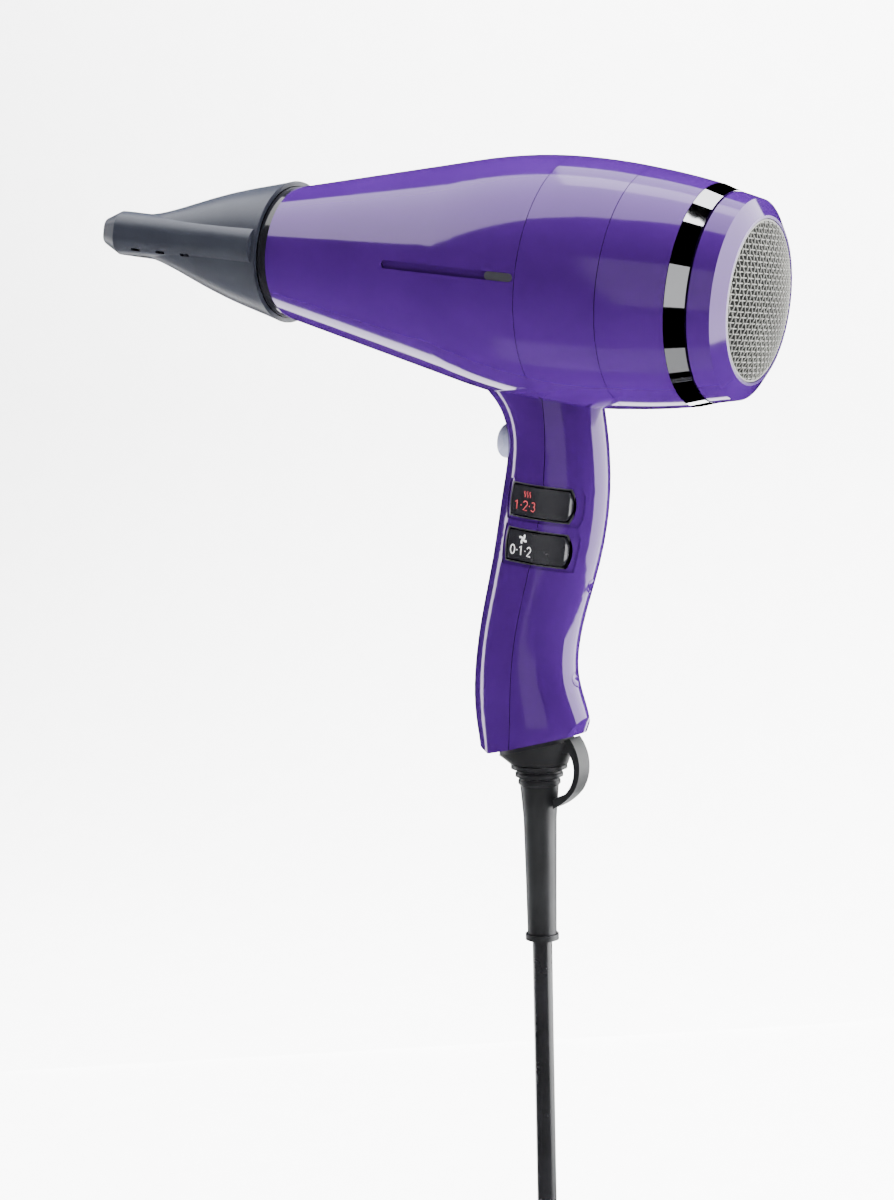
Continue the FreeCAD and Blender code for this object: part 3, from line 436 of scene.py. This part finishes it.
def make_heat_marks():
    """Rising heat waves over the three heat settings."""
    mesh = bmesh.new()
    for index in range(WAVES):
        x = WAVE_X + index * WAVE_PITCH
        wave = [(x + WAVE_SWING * math.sin(step * WAVE_PHASE), WAVE_Z + step * WAVE_RISE)
                for step in range(WAVE_POINTS)]
        add_stroke(mesh, wave, WAVE_STROKE, HEAT_LEVEL, RED)
    add_figures(mesh, HEAT_LEVEL, "123", (-7.6, -3.8), RED)
    return finish_mesh("heat_marks", mesh, "heat_switch")


def make_speed_marks():
    """A four-blade fan over the three speed settings."""
    mesh = bmesh.new()
    for index in range(BLADES):
        turn = math.radians(45 + 90 * index)
        blade = [(FAN_CENTRE[0] + reach * math.cos(turn + lead),
                  FAN_CENTRE[1] + reach * math.sin(turn + lead)) for reach, lead in BLADE_BEND]
        add_stroke(mesh, blade, FAN_STROKE, SPEED_LEVEL, WHITE)
    hub = curve_points(FAN_CENTRE, FAN_HUB_R, FAN_HUB_R, 0, 315, 7)
    add_stroke(mesh, hub, FAN_HUB_R, SPEED_LEVEL, WHITE, True)
    add_figures(mesh, SPEED_LEVEL, "012", (-7.5, -3.8), WHITE)
    return finish_mesh("speed_marks", mesh, "speed_switch")


marks = [make_heat_marks(), make_speed_marks()]


# ------------------------------------------------------------------ material tools

GRAIN_DEPTH = 0.0001
TONE_SCALE, WEAR_SCALE = 35, 60


def new_material(name):
    """A material, its node tree and its Principled shader."""
    material = bpy.data.materials.new(name)
    material.use_nodes = True
    tree = material.node_tree
    return material, tree, tree.nodes["Principled BSDF"]


def add(tree, kind, **inputs):
    """A new node with these values; an underscore stands for the space in an input's name."""
    made = tree.nodes.new(kind)
    for name, value in inputs.items():
        made.inputs[name.replace("_", " ")].default_value = value
    return made


def grain_bump(tree, shader, scale, strength):
    """Fine moulded grain from noise in object coordinates, which it returns."""
    coords = tree.nodes.new("ShaderNodeTexCoord")
    noise = add(tree, "ShaderNodeTexNoise", Scale=scale, Detail=3.0, Roughness=0.6)
    bump = add(tree, "ShaderNodeBump", Strength=strength, Distance=GRAIN_DEPTH)
    tree.links.new(coords.outputs["Object"], noise.inputs["Vector"])
    tree.links.new(noise.outputs["Fac"], bump.inputs["Height"])
    tree.links.new(bump.outputs["Normal"], shader.inputs["Normal"])
    return coords


def tone(tree, shader, coords, dark, light, scale):
    """A colour that drifts between two close tones."""
    noise = add(tree, "ShaderNodeTexNoise", Scale=scale, Detail=4.0, Roughness=0.55)
    ramp = tree.nodes.new("ShaderNodeValToRGB")
    ramp.color_ramp.elements[0].position = 0.35
    ramp.color_ramp.elements[1].position = 0.65
    ramp.color_ramp.elements[0].color = (*dark, 1)
    ramp.color_ramp.elements[1].color = (*light, 1)
    tree.links.new(coords.outputs["Object"], noise.inputs["Vector"])
    tree.links.new(noise.outputs["Fac"], ramp.inputs["Fac"])
    tree.links.new(ramp.outputs["Color"], shader.inputs["Base Color"])


def rough_between(tree, shader, coords, low, high):
    """Roughness that varies a little, as handling and dust leave it."""
    noise = add(tree, "ShaderNodeTexNoise", Scale=WEAR_SCALE, Detail=5.0, Roughness=0.6)
    span = tree.nodes.new("ShaderNodeMapRange")
    span.inputs["From Min"].default_value = 0.3
    span.inputs["From Max"].default_value = 0.7
    span.inputs["To Min"].default_value = low
    span.inputs["To Max"].default_value = high
    tree.links.new(coords.outputs["Object"], noise.inputs["Vector"])
    tree.links.new(noise.outputs["Fac"], span.inputs["Value"])
    tree.links.new(span.outputs["Result"], shader.inputs["Roughness"])


def plastic(name, dark, light, rough, grain=900, bump=0.15, coat=0.0, metallic=0.0):
    """Moulded plastic, rubber or plain metal with its own grain, tone and wear."""
    material, tree, shader = new_material(name)
    shader.inputs["Metallic"].default_value = metallic
    shader.inputs["Coat Weight"].default_value = coat
    shader.inputs["Coat Roughness"].default_value = 0.03
    coords = grain_bump(tree, shader, grain, bump)
    tone(tree, shader, coords, dark, light, TONE_SCALE)
    rough_between(tree, shader, coords, *rough)
    return material


def lacquered(material, tint, ior):
    """The material with a deeper, tinted gloss."""
    shader = material.node_tree.nodes["Principled BSDF"]
    shader.inputs["Specular Tint"].default_value = (*tint, 1)
    shader.inputs["IOR"].default_value = ior
    return material


MATERIALS = {
    "purple_case": lacquered(
        plastic("purple_gloss", (0.027, 0.0052, 0.078), (0.030, 0.0060, 0.085), (0.07, 0.10), 700, 0.02),
        tint=(0.84, 0.70, 1.0), ior=1.68),
    "trim_plastic": plastic("trim_grey", (0.020, 0.021, 0.026), (0.028, 0.029, 0.034), (0.38, 0.5)),
    "chrome": plastic("chrome_plate", (0.80, 0.81, 0.84), (0.86, 0.87, 0.89), (0.02, 0.05), 300, 0.02,
                      metallic=1.0),
    "mesh_wire": plastic("mesh_steel", (0.15, 0.15, 0.14), (0.22, 0.22, 0.20), (0.3, 0.4), 500, 0.1,
                         metallic=0.35),
    "nozzle_plastic": plastic("nozzle_slate", (0.016, 0.018, 0.027), (0.021, 0.024, 0.034), (0.32, 0.40),
                              1200, 0.25),
    "nozzle_inner": plastic("nozzle_dark", (0.020, 0.022, 0.027), (0.030, 0.032, 0.038), (0.4, 0.5)),
    "gloss_black": plastic("ring_black", (0.006, 0.006, 0.008), (0.010, 0.010, 0.012), (0.08, 0.14), 600,
                           0.05, coat=0.5),
    "heat_plastic": plastic("heat_black", (0.014, 0.014, 0.014), (0.022, 0.022, 0.022), (0.5, 0.6)),
    "mica": plastic("mica_sheet", (0.45, 0.36, 0.20), (0.56, 0.47, 0.30), (0.3, 0.45), 400, 0.3),
    "nichrome": plastic("nichrome_wire", (0.25, 0.23, 0.21), (0.36, 0.33, 0.30), (0.3, 0.4), metallic=1.0),
    "steel": plastic("plain_steel", (0.42, 0.42, 0.44), (0.52, 0.52, 0.54), (0.25, 0.35), metallic=1.0),
    "motor_steel": plastic("motor_steel", (0.22, 0.22, 0.23), (0.30, 0.30, 0.31), (0.35, 0.5),
                           metallic=1.0),
    "fan_plastic": plastic("fan_grey", (0.03, 0.03, 0.033), (0.045, 0.045, 0.048), (0.4, 0.5)),
    "switch_body": plastic("switch_black", (0.010, 0.010, 0.012), (0.016, 0.016, 0.018), (0.4, 0.5)),
    "rocker_plastic": plastic("rocker_black", (0.011, 0.011, 0.014), (0.013, 0.013, 0.016), (0.25, 0.28),
                              900, 0.05),
    "button_plastic": plastic("button_blue_grey", (0.20, 0.21, 0.31), (0.24, 0.25, 0.35),
                              (0.2, 0.3), 900, 0.1),
    "board": plastic("phenolic_board", (0.16, 0.10, 0.03), (0.21, 0.14, 0.05), (0.4, 0.5)),
    "copper": plastic("copper_winding", (0.45, 0.18, 0.07), (0.55, 0.24, 0.10), (0.25, 0.35), 300, 0.4,
                      metallic=1.0),
    "cord_black": plastic("cord_pvc", (0.006, 0.006, 0.007), (0.010, 0.010, 0.012), (0.2, 0.3), 700, 0.1),
    "rubber": plastic("moulded_rubber", (0.007, 0.0075, 0.009), (0.012, 0.013, 0.015), (0.36, 0.48), 1500,
                      0.3),
    "strap": plastic("strap_weave", (0.010, 0.010, 0.010), (0.020, 0.020, 0.020), (0.8, 0.95), 2500, 0.8),
    "plug_plastic": plastic("plug_black", (0.010, 0.010, 0.012), (0.018, 0.018, 0.020), (0.4, 0.5), 1500,
                            0.3),
    "brass": plastic("nickelled_brass", (0.60, 0.57, 0.46), (0.70, 0.67, 0.56), (0.15, 0.25),
                     metallic=1.0),
}


# Near-black for the dome under the intake mesh: painted shade for the dark inside of the intake.
MESH_PAINTED_SHADE = plastic("mesh_painted_shade", (0.004, 0.004, 0.004), (0.008, 0.008, 0.008), (0.7, 0.9))
WHITE_INK = plastic("white_ink", (0.70, 0.70, 0.71), (0.78, 0.78, 0.79), (0.4, 0.5))
RED_INK = plastic("red_ink", (0.52, 0.04, 0.05), (0.60, 0.06, 0.07), (0.4, 0.5))


def paint(piece, *materials):
    for material in materials:
        piece.data.materials.append(material)


def paint_everything():
    for part in frame["record"]["subparts"]:
        piece = nodes[part["node"]]
        piece.data.materials.clear()
        paint(piece, MATERIALS[part["material_slot"]])
    paint(flex, MATERIALS["cord_black"])
    paint(plugs, MATERIALS["purple_case"])
    paint(intake, MATERIALS["mesh_wire"], MESH_PAINTED_SHADE)
    for mark in marks:
        paint(mark, WHITE_INK, RED_INK)


paint_everything()


# ------------------------------------------------------------------ stage and light

def softbox(name, target, direction, distance, size, power):
    """A softbox that faces the target from that direction, unseen by the camera itself."""
    data = bpy.data.lights.new(name, "AREA")
    data.shape = "RECTANGLE"
    data.size, data.size_y = size
    data.energy = power
    lamp = link(name, data)
    away = Vector(direction).normalized()
    lamp.location = target + away * distance
    lamp.rotation_euler = away.to_track_quat("Z", "Y").to_euler()
    lamp.visible_camera = False
    return lamp


FLOOR_GAP = 0.02
SWEEP_FRONT, SWEEP_BACK, SWEEP_HALF, SWEEP_HEIGHT = -2.5, 1.5, 3.0, 3.0
SWEEP_R, SWEEP_STEPS = 0.5, 12


def make_stage():
    """A pale sweep: floor below the plug that curves up behind."""
    floor_z = cad_low.z - FLOOR_GAP
    profile = [(SWEEP_FRONT, floor_z), (SWEEP_BACK - SWEEP_R, floor_z)]
    for index in range(1, SWEEP_STEPS + 1):
        angle = math.pi / 2 * index / SWEEP_STEPS
        profile.append((SWEEP_BACK - SWEEP_R + SWEEP_R * math.sin(angle),
                        floor_z + SWEEP_R - SWEEP_R * math.cos(angle)))
    profile.append((SWEEP_BACK, floor_z + SWEEP_HEIGHT))
    mesh = bpy.data.meshes.new("sweep")
    verts = [(x, y, z) for y, z in profile for x in (-SWEEP_HALF, SWEEP_HALF)]
    faces = [(2 * i, 2 * i + 1, 2 * i + 3, 2 * i + 2) for i in range(len(profile) - 1)]
    mesh.from_pydata(verts, [], faces)
    mesh.shade_smooth()
    sweep = link("sweep", mesh)
    sweep.data.materials.append(plastic("pale_paper", (0.93, 0.93, 0.93), (0.95, 0.95, 0.95), (0.8, 0.9)))
    sweep.visible_glossy = False


def make_world():
    """Even white light that isn't seen in reflections."""
    world = bpy.data.worlds.new("studio")
    world.use_nodes = True
    bpy.context.scene.world = world
    background = world.node_tree.nodes["Background"]
    background.inputs["Color"].default_value = (1, 1, 1, 1)
    background.inputs["Strength"].default_value = 0.4
    world.cycles_visibility.glossy = False


def make_lights():
    """Softboxes that draw the gloss, one soft fill, and two washes for the sweep."""
    target = at(-20, 0, -10)
    softbox("overhead", target, (-0.45, -0.15, 0.88), 1.2, (1.05, 1.9), 24)
    softbox("underside_strip", target, (-0.49, 0.66, -0.57), 1.1, (1.7, 0.20), 7)
    softbox("front_strip", target, (-1.0, -0.02, -0.10), 1.2, (0.20, 0.9), 5)
    softbox("rear_panel", target, (0.85, 0.53, 0.0), 1.2, (1.55, 1.5), 60)
    softbox("top_card", target, (-0.06, 0.36, 0.93), 1.2, (0.6, 0.62), 4)
    softbox("front_card", target, (0.09, -0.98, 0.10), 2.0, (1.2, 1.5), 3.5)
    softbox("floor_card", target, (0.0, -0.35, -0.94), 1.0, (1.6, 0.5), 1.0)
    fill = softbox("fill", target, (0.5, -0.9, 0.5), 1.8, (1.2, 1.2), 6)
    wash = softbox("backdrop_wash", Vector((0, 1.6, 0.1)), (0, -0.55, 0.85), 2.2, (3.0, 1.4), 430)
    floor_wash = softbox("floor_wash", Vector((0, 0.9, -0.4)), (0, 0.1, 1), 2.2, (3.0, 1.4), 170)
    for lamp in (fill, wash, floor_wash):
        lamp.visible_glossy = False


make_stage()
make_world()
make_lights()
